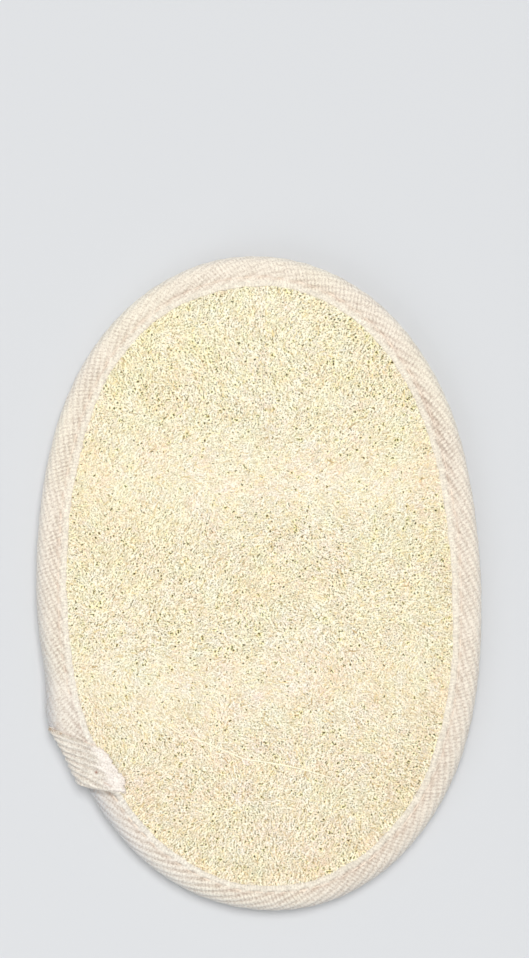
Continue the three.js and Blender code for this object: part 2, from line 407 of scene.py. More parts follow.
def tape_material(name, depth=0.32, dots=0.50, spots=0.26):
    """Cotton twill: the weave's own coordinates give the ribs and the small holes between them."""
    m, nt, sh = material(name)
    painted = node(nt, "Attribute", attribute_name="tint")
    tint, show = painted.outputs["Color"], painted.outputs["Alpha"]
    uv = node(nt, "UVMap", uv_map="weave").outputs[0]
    split = node(nt, "SeparateXYZ")
    put(nt, split.inputs[0], uv)
    u, v = split.outputs[0], split.outputs[1]
    wobble = math_node(nt, "MULTIPLY_ADD", noise(nt, 900, 2.0), 1.0, -0.5)
    u = math_node(nt, "ADD", u, math_node(nt, "MULTIPLY", wobble, 0.34))
    v = math_node(nt, "ADD", v, math_node(nt, "MULTIPLY_ADD", noise(nt, 620, 2.0), 0.7, -0.35))
    rib = math_node(nt, "MULTIPLY_ADD", math_node(nt, "COSINE", math_node(nt, "MULTIPLY", u, TURN)), 0.5, 0.5)
    dot = math_node(nt, "MULTIPLY_ADD", math_node(nt, "COSINE", math_node(nt, "MULTIPLY", v, TURN)), 0.5, 0.5)
    valley = math_node(nt, "POWER", math_node(nt, "SUBTRACT", 1.0, rib), 1.6)
    # The dots come and go along the tape
    dotted = node(nt, "Attribute", attribute_name="dots").outputs["Fac"]
    part = math_node(nt, "MULTIPLY", dotted, dots)
    full = math_node(nt, "SUBTRACT", 1.0, math_node(nt, "MULTIPLY", part, math_node(nt, "SUBTRACT", 1.0, dot)))
    hole = math_node(nt, "MULTIPLY", valley, full)
    hole = math_node(nt, "MULTIPLY", hole, show)
    # Thin gaps between the threads that make up a rib
    gap = math_node(nt, "MULTIPLY", math_node(nt, "MULTIPLY", math_node(nt, "POWER", dot, 2.0), show), dotted)
    yarn = math_node(nt, "MULTIPLY", math_node(nt, "SUBTRACT", 1.0, valley), gap)
    lint = noise(nt, 2700, 2.0, 0.6)
    low = math_node(nt, "ADD", math_node(nt, "MULTIPLY", hole, depth), math_node(nt, "MULTIPLY", yarn, spots))
    low = math_node(nt, "ADD", low, math_node(nt, "MULTIPLY_ADD", lint, 1.65, -0.77), clamp=True)
    colour = mix_colour(nt, low, tint, (*linear(158, 136, 120), 1))
    put(nt, sh.inputs["Base Color"], colour)
    sh.inputs["Specular IOR Level"].default_value = 0.2
    put(nt, sh.inputs["Roughness"], math_node(nt, "MULTIPLY_ADD", lint, 0.16, 0.78))
    sh.inputs["Sheen Weight"].default_value = 0.25
    sh.inputs["Sheen Roughness"].default_value = 0.5
    height = math_node(nt, "SUBTRACT", math_node(nt, "MULTIPLY", lint, 0.25), hole)
    bump = node(nt, "Bump")
    bump.inputs["Strength"].default_value = 0.7
    bump.inputs["Distance"].default_value = 0.00015
    put(nt, bump.inputs["Height"], height)
    put(nt, sh.inputs["Normal"], bump.outputs[0])
    return m


def floor_material():
    m, nt, sh = material("floor")
    sh.inputs["Base Color"].default_value = (*linear(207, 209, 212), 1)
    sh.inputs["Roughness"].default_value = 0.7
    sh.inputs["Specular IOR Level"].default_value = 0.2
    return m


FIBRE = fibre_material("loofah_fibre")
MAT = mat_material("loofah_mat")
TAPE = tape_material("cotton_twill")
TAPE_END = tape_material("cotton_twill_end", 0.28, 0.30, 0.16)
THREAD = fibre_material("cotton_thread", 0.7)
FLOOR = floor_material()


def piece(ob, mat, slot, *nodes):
    ob.data.materials.append(mat)
    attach(ob, "root")
    if nodes:
        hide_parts(*nodes)
    return ob


# --------------------------------------------------------------- loofah: mat


def loofah_mat():
    n = 240
    a = np.arange(n) / n * TURN
    base, inn = rim(a), inward(a)
    rng_rows, rows = [], []

    def ring(d, z):
        rows.append(np.concatenate([base + inn * d - MIDDLE, np.full((n, 1), 1.0) * z], 1))

    front = [2.6, 4.5, 5.6, 6.3, 6.8, 7.4, 8.2, 9.2, 10.6, 12.5]
    hub = base + inn * 12.5 - MIDDLE
    for k in np.linspace(0.06, 0.94, 14):
        xy = hub * k
        z = EDGE_MID + FACE_RISE(12.5 + 35.5 * (1 - k)) - 1.1
        rows.append(np.concatenate([xy, np.full((n, 1), z)], 1))
    for d in front[::-1]:
        ring(d, EDGE_MID + FACE_RISE(d) - 1.1 * float(ease(d, 4.6, 7.0)))
    ring(1.55, EDGE_MID + PINCH * 0.4)
    ring(1.55, EDGE_MID - PINCH * 0.4)
    for d in [2.6, 4.5, 6.3, 7.4, 9.2, 11.5, 14]:
        ring(d, EDGE_MID - BACK_DROP(d) + 0.5 * float(ease(d, 4.6, 7.0)))
    low = base + inn * 14 - MIDDLE
    for k in (0.8, 0.6, 0.4, 0.2, 0.06):
        rows.append(np.concatenate([low * k, np.full((n, 1), 0.5)], 1))
    points = np.array(rows)
    top = np.arange(len(rows))[:, None] < 24
    x, y = points[..., 0], points[..., 1]
    bump = (lattice(x, y, 2.2, 11) - 0.5) * 0.35 * top
    points[..., 2] += bump
    count = len(rows)
    flat = np.concatenate([points.reshape(-1, 3), [[0, 0, EDGE_MID + CROWN - 1.1], [0, 0, 0.5]]])
    r, i = np.meshgrid(np.arange(count - 1), np.arange(n), indexing="ij")
    j = (i + 1) % n
    quads = np.stack([r * n + i, (r + 1) * n + i, (r + 1) * n + j, r * n + j], -1).reshape(-1, 4)
    i = np.arange(n)
    j = (i + 1) % n
    hub_i, low_i, last = count * n, count * n + 1, (count - 1) * n
    fan = np.concatenate([np.stack([np.full(n, hub_i), i, j], -1), np.stack([last + i, np.full(n, low_i), last + j], -1)])
    corners = np.concatenate([quads.ravel(), fan.ravel()])
    totals = np.concatenate([np.full(len(quads), 4), np.full(len(fan), 3)])
    # Face in the left half of the map, back in the right half
    xy = flat[corners, :2]
    face_rows = np.concatenate([np.repeat(np.repeat(np.arange(count - 1), n) < 24, 4), np.repeat([True, False], 3 * n)])
    uv = np.stack([(xy[:, 0] + 51) / 204 + np.where(face_rows, 0, 0.5), (xy[:, 1] + 74) / 148], -1)
    return mesh_object("loofah_mat", flat, corners, totals, uv)


# ----------------------------------------------------------- loofah: strands


def in_bands(y):
    """How open the mat is along the pad's length: smoother bands across it, coarser ones between."""
    calm = np.exp(-((y - 24) / 9.5) ** 2) + 0.8 * np.exp(-((y + 22.5) / 7.5) ** 2)
    return 1 - 0.62 * np.clip(calm, 0, 1)


def pores(rng, count, edge):
    """A mask of small openings, 0.1 mm to a cell."""
    step = 0.1
    nx, ny = int(104 / step), int(152 / step)
    mask = np.zeros((nx, ny), np.float32)
    x, y = rng.uniform(-50, 50, count * 3), rng.uniform(-74, 74, count * 3)
    d = depth_of(np.stack([x, y], -1))[0]
    chance = in_bands(y) * (0.35 + 1.1 * cloud(x, y, 9.0, 71))
    keep = (d > edge) & (rng.random(len(x)) < chance)
    x, y = x[keep][:count], y[keep][:count]
    r = np.clip(rng.lognormal(math.log(0.13), 0.42, len(x)), 0.06, 0.42)
    turn, flat = rng.uniform(0, TURN, len(x)), rng.uniform(0.5, 1, len(x))
    g = np.arange(-6, 7)
    gx, gy = np.meshgrid(g, g, indexing="ij")
    i, j = ((x + 52) / step).astype(int), ((y + 76) / step).astype(int)
    px = (i[:, None, None] + gx + 0.5) * step - 52 - x[:, None, None]
    py = (j[:, None, None] + gy + 0.5) * step - 76 - y[:, None, None]
    c, s = np.cos(turn)[:, None, None], np.sin(turn)[:, None, None]
    u, v = px * c + py * s, (py * c - px * s) / flat[:, None, None]
    inside = np.clip(1.3 - np.hypot(u, v) / r[:, None, None], 0, 1)
    ii = np.clip(i[:, None, None] + gx, 0, nx - 1)
    jj = np.clip(j[:, None, None] + gy, 0, ny - 1)
    np.maximum.at(mask, (ii, jj), inside)
    return mask


def flow(xy):
    """The way that most strands run at a place."""
    x, y = xy[..., 0], xy[..., 1]
    nx = lattice(x, y, 15, 31) - 0.5
    ny = lattice(x, y, 15, 41) - 0.5
    radial = np.arctan2(y, x * 1.4)
    up = ease(y, 20, 60) * 0.35 + ease(-y, 25, 65) * 0.45
    nx = nx + 0.14 * (1 - ease(np.abs(y), 12, 40)) + up * np.cos(radial) * 0.5
    ny = ny + up * np.sin(radial) * 0.5
    return np.arctan2(ny, nx)


def loofah_tint(xy, rng, shape):
    """Cream, with golden, pale and brownish strands, deeper gold towards the seam."""
    x, y = xy[..., 0], xy[..., 1]
    d = depth_of(xy)[0]
    cream, pale, gold, brown = linear(239, 229, 201), linear(247, 240, 217), linear(236, 218, 172), linear(208, 182, 136)
    pick = rng.random(shape)[..., None]
    c = np.where(pick < 0.62, cream, np.where(pick < 0.84, pale, np.where(pick < 0.98, gold, brown)))
    warm = 0.14 * (1 - ease(d, 7, 15)) + 0.26 * ease(cloud(x, y, 26, 91), 0.52, 0.78)
    c = c * (1 - warm[..., None]) + gold * warm[..., None] * 1.02
    blush = ease(-y, 0, 58)
    c = c * (1 - blush[..., None] * np.array([0.020, 0.052, 0.062]))
    c = c * (1 - ease(x, 8, 42)[..., None] * np.array([0.016, 0.024, 0.060]))
    c = c * (1 + ease(y, 20, 60)[..., None] * np.array([0.010, 0.026, 0.012]))
    c = c * (1 + 0.032 * ease(y, 30, 44) - 0.025 * ease(-y, 6, 26))[..., None]
    return c * rng.normal(1.0, 0.05, shape)[..., None].clip(0.85, 1.12)


def scatter(rng, count, edge, mask, steps, length, deep, lift, spread, widths, surface, limit=0.35):
    """Strands lying in the mat, none across an opening. Returns lines, radii and tints."""
    lines, radii, tints, have = [], [], [], 0
    low, high = deep
    while have < count:
        m = 30000
        xy = np.stack([rng.uniform(-49, 49, m), rng.uniform(-72.5, 72.5, m)], -1)
        xy = xy[depth_of(xy)[0] > edge]
        m = len(xy)
        span = np.clip(rng.lognormal(math.log(length), 0.42, m), 0.9, 9)
        way = flow(xy) + rng.normal(0, spread, m) + np.where(rng.random(m) < 0.24, TURN / 4, 0)
        bend = rng.normal(0, 0.85, m) / span ** 0.5
        wave, phase = rng.normal(0, 0.35, m), rng.uniform(0, TURN, m)
        t = np.linspace(-0.5, 0.5, steps)
        ways = way[:, None] + bend[:, None] * t + wave[:, None] * np.sin(t * 9 + phase[:, None])
        move = np.stack([np.cos(ways), np.sin(ways)], -1) * (span / (steps - 1))[:, None, None]
        run = np.cumsum(move, axis=1)
        run -= run.mean(1, keepdims=True)
        p = xy[:, None] + run
        # Finer points along the way, for the openings
        f = np.linspace(0, steps - 1, 15)
        i = np.minimum(f.astype(int), steps - 2)
        w = (f - i)[None, :, None]
        q = p[:, i] * (1 - w) + p[:, i + 1] * w
        gi = np.clip(((q[..., 0] + 52) / 0.1).astype(int), 0, mask.shape[0] - 1)
        gj = np.clip(((q[..., 1] + 76) / 0.1).astype(int), 0, mask.shape[1] - 1)
        keep = (mask[gi, gj].max(1) < limit) & (past_tape(p[:, [0, -1]]).min(1) > -0.3)
        p, span, ways, m = p[keep], span[keep], ways[keep], int(keep.sum())
        h = rng.uniform(low, high, m)
        arch = np.abs(t * 2) ** 2.5
        z = surface(p) + (h[:, None] - 0.25 * arch + 0.04 * np.sin(t * 11 + rng.uniform(0, TURN, m)[:, None])) * lift
        r = np.clip(rng.lognormal(math.log(widths), 0.26, m), 0.07, 0.26)
        taper = 1 - 0.55 * np.abs(t * 2) ** 4
        depth = ((h - low) / (high - low))[:, None]
        c = loofah_tint(xy[keep], rng, m)[:, None] * np.ones((1, steps, 1))
        lines.append(np.concatenate([p, z[..., None]], -1))
        radii.append(r[:, None] * taper)
        tints.append(c)
        have += m
    cut = lambda a: np.concatenate(a)[:count]
    return cut(lines), cut(radii), cut(tints)


def loofah_face():
    rng = np.random.default_rng(4)
    mask = pores(rng, 3000, 6.6)
    made = []
    #        name, count, depth range, opening limit, points, length, width
    layers = [("mid", 4500, (-0.13, -0.05), 0.30, 3, 1.6, 0.110),
              ("top", 4500, (-0.09, 0.00), 0.30, 4, 1.8, 0.105)]
    for title, count, deep, limit, steps, length, width in layers:
        line, r, c = scatter(rng, count, 5.4, mask, steps, length, deep, 1.0, 0.45, width, face_z, limit)
        ob = strands("loofah_strands_" + title, line, r, c, 3, rng.uniform(0, TURN, count))
        made.append(piece(ob, FIBRE, "loofah"))
    return made


FELT_STEP = 0.225


def loofah_felt():
    """The face's felted skin: a fine net of points with strands pressed into it as ridges and openings as pits."""
    rng = np.random.default_rng(17)
    c, rise = FELT_STEP, FELT_STEP * math.sqrt(0.75)
    nx, ny = int(98 / c), int(145 / rise)
    i, j = np.meshgrid(np.arange(nx), np.arange(ny), indexing="xy")
    x, y = -49 + (i + 0.5 * (j % 2)) * c, -72.5 + j * rise
    xy = np.stack([x, y], -1) + rng.uniform(-0.06, 0.06, (ny, nx, 2))
    inside = past_tape(xy) > -0.8
    ridge, tone = np.zeros((ny, nx)), np.zeros((ny, nx, 3))
    tone[:] = loofah_tint(xy, rng, (ny, nx)) * 0.5 + linear(232, 218, 183) * 0.47

    def cell(px, py):
        jj = np.clip(np.rint((py + 72.5) / rise).astype(int), 0, ny - 1)
        return jj, np.clip(np.rint((px + 49) / c - 0.5 * (jj % 2)).astype(int), 0, nx - 1)

    # Strands pressed into the skin
    count, steps = 40000, 13
    at = np.stack([rng.uniform(-48, 48, count), rng.uniform(-72, 72, count)], -1)
    way = flow(at) + rng.normal(0, 0.5, count) + np.where(rng.random(count) < 0.2, TURN / 4, 0)
    bend, span = rng.normal(0, 0.5, count), np.clip(rng.lognormal(math.log(1.5), 0.4, count), 0.7, 4)
    t = np.linspace(-0.5, 0.5, steps)
    ways = way[:, None] + bend[:, None] * t * 2
    run = np.cumsum(np.stack([np.cos(ways), np.sin(ways)], -1) * (span / steps)[:, None, None], axis=1)
    p = at[:, None] + run - run.mean(1, keepdims=True)
    high = rng.uniform(0.25, 1.0, count)[:, None] * (1 - 0.6 * np.abs(2 * t) ** 3)
    shade = loofah_tint(at, rng, count)
    order = np.argsort(high.max(1))
    jj, ii = cell(p[order, :, 0], p[order, :, 1])
    np.maximum.at(ridge, (jj, ii), high[order])
    mark = np.full((ny, nx), -1)
    np.maximum.at(mark, (jj, ii), np.arange(count)[:, None] * np.ones((1, steps), int))
    has = mark >= 0
    tone[has] = tone[has] * 0.3 + shade[order][mark[has]] * 0.7
    # Openings
    pit = np.zeros((ny, nx))
    chance = 0.034 * in_bands(y) * np.clip(0.15 + 1.75 * cloud(x, y, 8.0, 71), 0, 2)
    # Larger openings beside the seam at the upper right
    wide = np.exp(-(((np.arctan2(y, x) - 0.95) / 0.42) ** 2) - (((depth_of(xy)[0] - 8.3) / 2.2) ** 2))
    cj, ci = np.nonzero(rng.random((ny, nx)) < chance * (1 + 0.6 * wide))
    n = len(cj)
    size = np.clip(rng.lognormal(math.log(0.46), 0.95, n), 0.12, 2.4) * (1 + 0.5 * wide[cj, ci])
    np.maximum.at(pit, (cj, ci), size)
    for share, weight in ((0.72, 1.0), (0.56, 0.95), (0.42, 0.85)):
        go = rng.random(n) < share * np.clip(size - 0.15, 0.15, 1.5)
        way = rng.integers(0, 6, n)
        odd = cj % 2
        dj = np.array([0, 0, 1, 1, -1, -1])[way]
        di = np.where(dj == 0, np.array([1, -1, 0, 0, 0, 0])[way], np.array([0, 0, 0, -1, 0, -1])[way] + odd)
        tj, ti = np.clip(cj + dj, 0, ny - 1), np.clip(ci + di, 0, nx - 1)
        np.maximum.at(pit, (tj[go], ti[go]), (size * weight)[go])
    pit[ridge > 0.93] *= 0.4
    # Short shallow grooves between the strands
    count, steps = 24000, 7
    at = np.stack([rng.uniform(-48, 48, count), rng.uniform(-72, 72, count)], -1)
    way = flow(at) + rng.normal(0, 0.34, count) + np.where(rng.random(count) < 0.12, TURN / 4, 0)
    span = np.clip(rng.lognormal(math.log(0.7), 0.35, count), 0.4, 1.6)
    line = at[:, None] + np.stack([np.cos(way), np.sin(way)], -1)[:, None] * (np.linspace(-0.5, 0.5, steps) * span[:, None])[..., None]
    jj, ii = cell(line[..., 0], line[..., 1])
    groove = np.zeros((ny, nx))
    np.maximum.at(groove, (jj, ii), (rng.uniform(0.05, 0.32, count) * (0.55 + 0.45 * in_bands(at[:, 1])))[:, None] * np.ones((1, steps)))
    pit = np.maximum(pit, groove)
    grain = rng.normal(0, 1, (ny, nx)).clip(-2, 2)
    swell = cloud(x, y, 3.0, 83) - 0.5
    z = face_z(xy) - 0.14 + 0.15 * ridge + 0.02 * grain + 0.12 * swell - 0.26 * np.minimum(pit, 1.2)
    # Painted shade in the openings and grooves: dark olive over their shallow real depth
    painted_pit_shade = np.clip(pit, 0, 1)[..., None]
    hue = rng.random((ny, nx))[..., None]
    deep = np.where(hue < 0.7, linear(104, 86, 12), linear(132, 84, 16))
    # Random grain, and painted light on the raised strands with painted shade between them
    tone = tone * (1 + 0.06 * grain[..., None]) * (0.85 + 0.28 * ridge[..., None])
    # Small patches that are a little pinker, yellower or greyer
    tone = tone * (1 + (cloud(x, y, 2.6, 87) - 0.5)[..., None] * np.array([0.03, -0.06, -0.21]))
    tone = tone * (1 + (cloud(x, y, 3.6, 94) - 0.5)[..., None] * np.array([0.09, -0.07, 0.02]))
    # The painted shade laid into the openings and grooves
    tone = tone * (1 - 0.96 * painted_pit_shade) + deep * 0.96 * painted_pit_shade
    # Round the openings the painted shade spreads as a goldener edge with less blue; the whole a little bluer
    halo = np.clip(1.2 * soften(pit, 0.9), 0, 1)[..., None]
    tone = tone * (1 - halo * np.array([0.0, 0.04, 0.38])) * np.array([1.0, 0.998, 1.075])
    # Crisp at the size of a strand, even at the size of a few
    light = tone @ np.array([0.2126, 0.7152, 0.0722])
    near, far = soften(light, 0.8), soften(light, 9.0)
    crisp = light + 2.35 * (light - near) - 0.38 * (near - far)
    quiet = 0.35 * (1 - in_bands(y)) / 0.62 + 0.19 * np.exp(-(((x + 22) / 16) ** 2) - (((y + 34) / 16) ** 2))
    crisp = np.clip(1.078 * (far + (crisp - far) * (1 - quiet)), 0.04, 0.935)
    # Painted shade and light: deeper gold where the tone is dark, in the hollows, and whiter where it is light, on top
    change = (crisp / light)[..., None]
    tone = np.minimum(tone * change ** np.where(change > 1, [1.0, 1.02, 1.22], [1.0, 1.04, 1.5]), 0.97)
    # Painted light against the tape's edge, paler where the tape's lip would shade the face
    tone = tone * (1 + 0.03 * (1 - ease(past_tape(xy), 0.0, 0.7)))[..., None]
    tone = np.minimum(tone * np.array([1.0, 0.998, 1.0]), 0.97)
    points = np.concatenate([xy, z[..., None]], -1)
    r, q = np.meshgrid(np.arange(ny - 1), np.arange(nx - 1), indexing="ij")
    a, b = r * nx + q, r * nx + q + 1
    e, f = a + nx, b + nx
    even = (r % 2 == 0)[..., None]
    tri = np.concatenate([np.where(even, np.stack([a, b, e], -1), np.stack([a, f, e], -1)),
                          np.where(even, np.stack([b, f, e], -1), np.stack([a, b, f], -1))], 1)
    keep = inside.ravel()[tri].all(-1)
    total, row_sum = keep.sum(), np.cumsum(keep.sum(1))
    parts = int(math.ceil(total / 150000))
    cut = [0] + [int(np.searchsorted(row_sum, total * k / parts)) for k in range(1, parts)] + [ny - 1]
    flat, paint = points.reshape(-1, 3), tone.reshape(-1, 3)
    for k in range(parts):
        faces = tri[cut[k]:cut[k + 1]][keep[cut[k]:cut[k + 1]]]
        used, index = np.unique(faces, return_inverse=True)
        own = flat[used]
        low, high = own[:, :2].min(0), own[:, :2].max(0)
        index = index.reshape(-1)
        uv = 0.01 + 0.98 * ((own[:, :2] - low) / (high - low))[index]
        ob = mesh_object("loofah_felt_%d" % (k + 1), own, index, np.full(len(faces), 3), uv, paint[used])
        piece(ob, FIBRE, "loofah", "loofah_pad")


def loofah_back():
    rng = np.random.default_rng(9)
    mask = pores(rng, 3200, 6.6)
    line, r, c = scatter(rng, 5200, 6.0, mask, 3, 3.0, (-0.42, -0.16), -1.0, 0.6, 0.15, back_z, 0.5)
    line[..., 2] = np.maximum(line[..., 2], r + 0.02)
    ob = strands("loofah_strands_back", line, r, c * 0.97, 3, rng.uniform(0, TURN, len(line)))
    return piece(ob, FIBRE, "loofah")


def stray_strand():
    """One long pale strand that lies loose across the lower part of the face."""
    xy = np.array([[-20.5, -31.6], [-16.7, -33.7], [-12.4, -35.0], [-8.9, -36.6], [-6.4, -37.5], [-3.0, -39.0],
                   [1.0, -39.5], [5.3, -40.2], [9.5, -41.1], [13.3, -42.2], [16.0, -43.1]])
    f = np.linspace(0, len(xy) - 1, 60)
    p = np.stack([np.interp(f, np.arange(len(xy)), xy[:, i]) for i in (0, 1)], -1)
    for _ in range(3):
        p[1:-1] = (p[:-2] + 2 * p[1:-1] + p[2:]) / 4
    z = face_z(p) + 0.08 + 0.04 * np.sin(np.linspace(0, 17, 60))
    line = np.concatenate([p, z[:, None]], 1)[None]
    r = 0.15 * (1 - 0.5 * np.abs(np.linspace(-1, 1, 60)) ** 5)[None]
    c = np.broadcast_to(linear(255, 250, 226), (1, 60, 3))
    return piece(strands("loofah_stray_strand", line, r, c, 6), FIBRE, "loofah")


# --------------------------------------------------------------- binding tape



def rib_angle(s):
    a = np.degrees(angle_at(s)) % 360
    return np.radians(23.6 + 1.8 * np.cos(np.radians(2 * a)) + 0.9 * np.cos(np.radians(a)))


def rib_pitch(s):
    return 1.50 + 0.12 * np.cos(angle_at(s))


def tape_swell(s):
    """How far the edge swells out just before the turned-back end."""
    gap = s - (JOIN + PERIMETER - 9.2)
    return 2.4 * np.exp(-((gap / np.where(gap < 0, 7.2, 4.0)) ** 2))


def tape_section():
    """The outer side from the face's edge round to the back's: share of the front or back reach, nose angle, path."""
    front = np.linspace(1, 0, 20)[:-1]
    nose = np.radians(np.linspace(90, -90, 29))
    back = np.linspace(0, 1, 14)[1:]
    return front, nose, back


def binding_tape():
    rows = 1280
    s = np.linspace(JOIN_NOSE + 0.35, JOIN_NOSE + PERIMETER - 0.35, rows)
    # Both ends are cut at a slant and lie under the turned-back end
    slant = 0.70 * (1 - ease(np.minimum(s - s[0], s[-1] - s), 0, 16))
    front, nose, back = tape_section()
    reach_f = front_reach(s + 9.3 * slant)
    reach_b = TAPE_BACK + (lattice(s, s * 0, 9.0, 203) - 0.5) * 0.5
    # The edge swells where the turned-back end begins
    swell = tape_swell(s) + (lattice(s, s * 0, 24, 204) - 0.5) * 0.35

    def up(d, seam, edge):
        furrow = 0.22 * np.exp(-(((d - seam) / 0.62) ** 2))
        dome = 0.16 * np.clip(np.sin(np.clip((seam - 0.4 - d) / 3.6, 0, 1) * math.pi), 0, 1)
        bead = 0.13 * np.exp(-(((d - edge + 0.8) / 0.5) ** 2))
        return NOSE + 0.06 * np.maximum(0, (d - 5) / 1.5) - furrow + dome + bead

    d_front = ROLL_IN + front[None] * (reach_f[:, None] - ROLL_IN)
    d_nose = np.broadcast_to(ROLL_IN * (1 - np.cos(nose)), (rows, len(nose)))
    d_back = ROLL_IN + back[None] * (reach_b[:, None] - ROLL_IN)
    seam = seam_in(s + 6.6 * slant)[:, None]
    z_front = up(d_front, seam, reach_f[:, None])
    z_nose = np.broadcast_to(NOSE * np.sin(nose), (rows, len(nose)))
    z_back = -up(d_back, SEAM_IN, reach_b[:, None])
    d = np.concatenate([d_front, d_nose, d_back], 1)
    z = np.concatenate([z_front, z_nose, z_back], 1)
    wide = np.concatenate([np.full(len(front), 1.0) * ease(1 - front, 0, 0.9), np.ones(len(nose)), 1 - back])
    d = d - swell[:, None] * wide[None]
    # Way round the section, zero at the outline and growing inwards on the face
    path = np.concatenate([np.zeros((rows, 1)), np.cumsum(np.hypot(np.diff(d, axis=1), np.diff(z, axis=1)), 1)], 1)
    q = path[:, [len(front) + 14]] - path
    S = s[:, None] + slant[:, None] * q
    alpha = rib_angle(S)
    fine = np.linspace(s[0] - 20, s[-1] + 20, 4000)
    rate = np.sin(rib_angle(fine)) / rib_pitch(fine)
    drift = np.concatenate([[0], np.cumsum((rate[1:] + rate[:-1]) / 2 * np.diff(fine))])
    ramble = (lattice(S, q, 11.0, 205) - 0.5) * 0.5
    u = (q * np.cos(alpha) + ramble) / rib_pitch(S) - np.interp(S, fine, drift)
    v = 1.02 * S + 0.54 * q + (lattice(S, q, 6.0, 209) - 0.5) * 0.5
    # Relief of the ribs, fading at the edges where the selvedge runs
    sel = ease(d - reach_f[:, None], -1.45, -0.95) * (z > 0) + ease(d, 5.0, 5.6) * (z < 0)
    rib = 0.5 + 0.5 * np.cos(TURN * u)
    dot = 0.5 + 0.5 * np.cos(TURN * v)
    relief = 0.085 * rib * (1 - 0.8 * sel) - 0.12 * (1 - rib) * (0.35 + 0.65 * dot) * (1 - sel)
    tick = 0.5 + 0.5 * np.cos(TURN * (S / 0.86 + 1.5 * lattice(S, q, 3.0, 206)))
    relief += sel * (0.07 * tick + 0.08 * (lattice(S, q * 2, 0.7, 207) - 0.5))
    relief += (lattice(S, q, 2.6, 208) - 0.5) * 0.10
    td, tz = np.gradient(d, axis=1), np.gradient(z, axis=1)
    ln = np.maximum(np.hypot(td, tz), 1e-9)
    # Outward from the section: left of the way round
    nd, nz = tz / ln, -td / ln
    d_out, z_out = d + nd * relief, z + nz * relief
    # Rolled edges and the inner side
    def inner_row(j, off):
        return d[:, j] - nd[:, j] * off, z[:, j] - nz[:, j] * off
    cols_d, cols_z = [d_out], [z_out]
    lip = 0.16
    for j, tip in ((-1, -1), (0, 1)):
        row = []
        for off, out in ((0.25, lip), (0.55, lip * 0.8)):
            dd, zz = inner_row(j, off)
            row.append((dd + out, zz))
        if j == 0:
            row = row[::-1]
        under = []
        if j == -1:
            take = [71 - 12, 52, 46, 40, 34, 28, 22, 11, 0]
            take = [min(t, d.shape[1] - 1) for t in take]
            for t in take:
                under.append(inner_row(t, TAPE_THICK - 0.08))
            row = row + under
        for dd, zz in row:
            cols_d.append(dd[:, None])
            cols_z.append(zz[:, None])
    D, Z = np.concatenate(cols_d, 1), np.concatenate(cols_z, 1)
    length, outer = D.shape[1], d.shape[1]
    # The inner side follows the outer side's slant at the same depth
    take = [outer - 1, outer - 1, 59, 52, 46, 40, 34, 28, 22, 11, 0, 0, 0]
    S_all = np.concatenate([S, S[:, take]], 1)
    points = np.concatenate([spot(S_all, D), (EDGE_MID + Z)[..., None]], -1)
    # Colours: pinkish cream, whiter selvedge, tan in the furrow, soiled a little in places
    cream, white, tan = linear(240, 231, 216), linear(235, 227, 211), linear(208, 178, 160)
    yellow = linear(240, 233, 213)
    c = np.broadcast_to(cream, (rows, outer, 3)).copy()
    soft = ease(cloud(S, q, 20, 211), 0.4, 0.7)[..., None]
    c = c * (1 - 0.5 * soft) + yellow * 0.5 * soft
    c = c * (1 - sel[..., None]) + white * sel[..., None]
    # Long pinkish streaks where the seam draws the cloth in, most at the upper right
    turn = S % PERIMETER
    side = 0.34 + 0.66 * np.exp(-(((turn - 48) / 34) ** 2)) + 0.2 * np.exp(-(((turn - 345) / 30) ** 2))
    streak = ease(lattice(S * 0.20, q * 1.5, 1.0, 217), 0.45, 0.85) + 0.4 * ease(lattice(S, q, 2.4, 212), 0.45, 0.9)
    gully = np.clip(np.exp(-(((d - seam + 0.35) / 0.8) ** 2)) * streak * side, 0, 1) * (z > 0)
    lines = (1 - rib) ** 2 * np.exp(-(((d - seam + 0.75) / 1.1) ** 2)) * side * (z > 0)
    gully = np.clip(gully + 0.75 * lines, 0, 1)
    c = c * (1 - 0.28 * gully[..., None]) + tan * 0.28 * gully[..., None]
    # Here and there the thread's needle holes
    line = seam - 0.15 + 0.6 * (lattice(S, S * 0, 9.0, 219) - 0.5)
    dash = ease(lattice(S, S * 0, 1.5, 220), 0.45, 0.75) * np.exp(-(((d - line) / 0.17) ** 2)) * (z > 0)
    c = c * (1 - 0.42 * dash[..., None]) + linear(186, 154, 136) * 0.42 * dash[..., None]
    # Painted light round the top and painted shade round the lower right; a little bluer round the lower left
    c *= 1 + 0.018 * np.exp(-(((turn - 95) / 60) ** 2))[..., None] - 0.060 * np.exp(-(((turn - 330) / 36) ** 2))[..., None]
    c *= 1 + np.exp(-(((turn - 248) / 36) ** 2))[..., None] * np.array([-0.02, 0.005, 0.05])
    c *= (1 + 0.05 * (lattice(S, q, 4.0, 213) - 0.5))[..., None]
    c *= (1 + sel * (0.18 * (tick - 0.5) + 0.30 * (lattice(S, q * 1.6, 0.62, 215) - 0.5)))[..., None]
    # Painted shade where the tape rolls over the outer edge, greyer near the outline
    painted_roll_shade = ((1 - ease(q, 0.4, 3.2)) * ease(q, -0.8, 0.7))[..., None]
    c = c * (1 - painted_roll_shade * np.array([0.095, 0.062, 0.015]))
    # Painted shade round the edge at the left and below, and across the tape at the lower left
    painted_side_shade = 0.55 * np.exp(-(((turn - 265) / 80) ** 2)) + 0.55 * np.exp(-(((turn - 232) / 28) ** 2))
    painted_side_shade = painted_side_shade * (1 - ease(q, 1.5, 5.2)) * ease(q, -0.8, 0.7)
    c = c * (1 - painted_side_shade[..., None] * np.array([0.22, 0.17, 0.09]))
    painted_side_shade = np.exp(-(((turn - 226) / 30) ** 2)) * (1 - ease(q, 2.5, 6.0)) * ease(q, -0.8, 0.7)
    c = c * (1 - painted_side_shade[..., None] * np.array([0.13, 0.13, 0.115]))
    c *= 1 - (np.exp(-(((turn - 243) / 15) ** 2)) * ease(q, 0.5, 2.5))[..., None] * np.array([0.085, 0.08, 0.065])
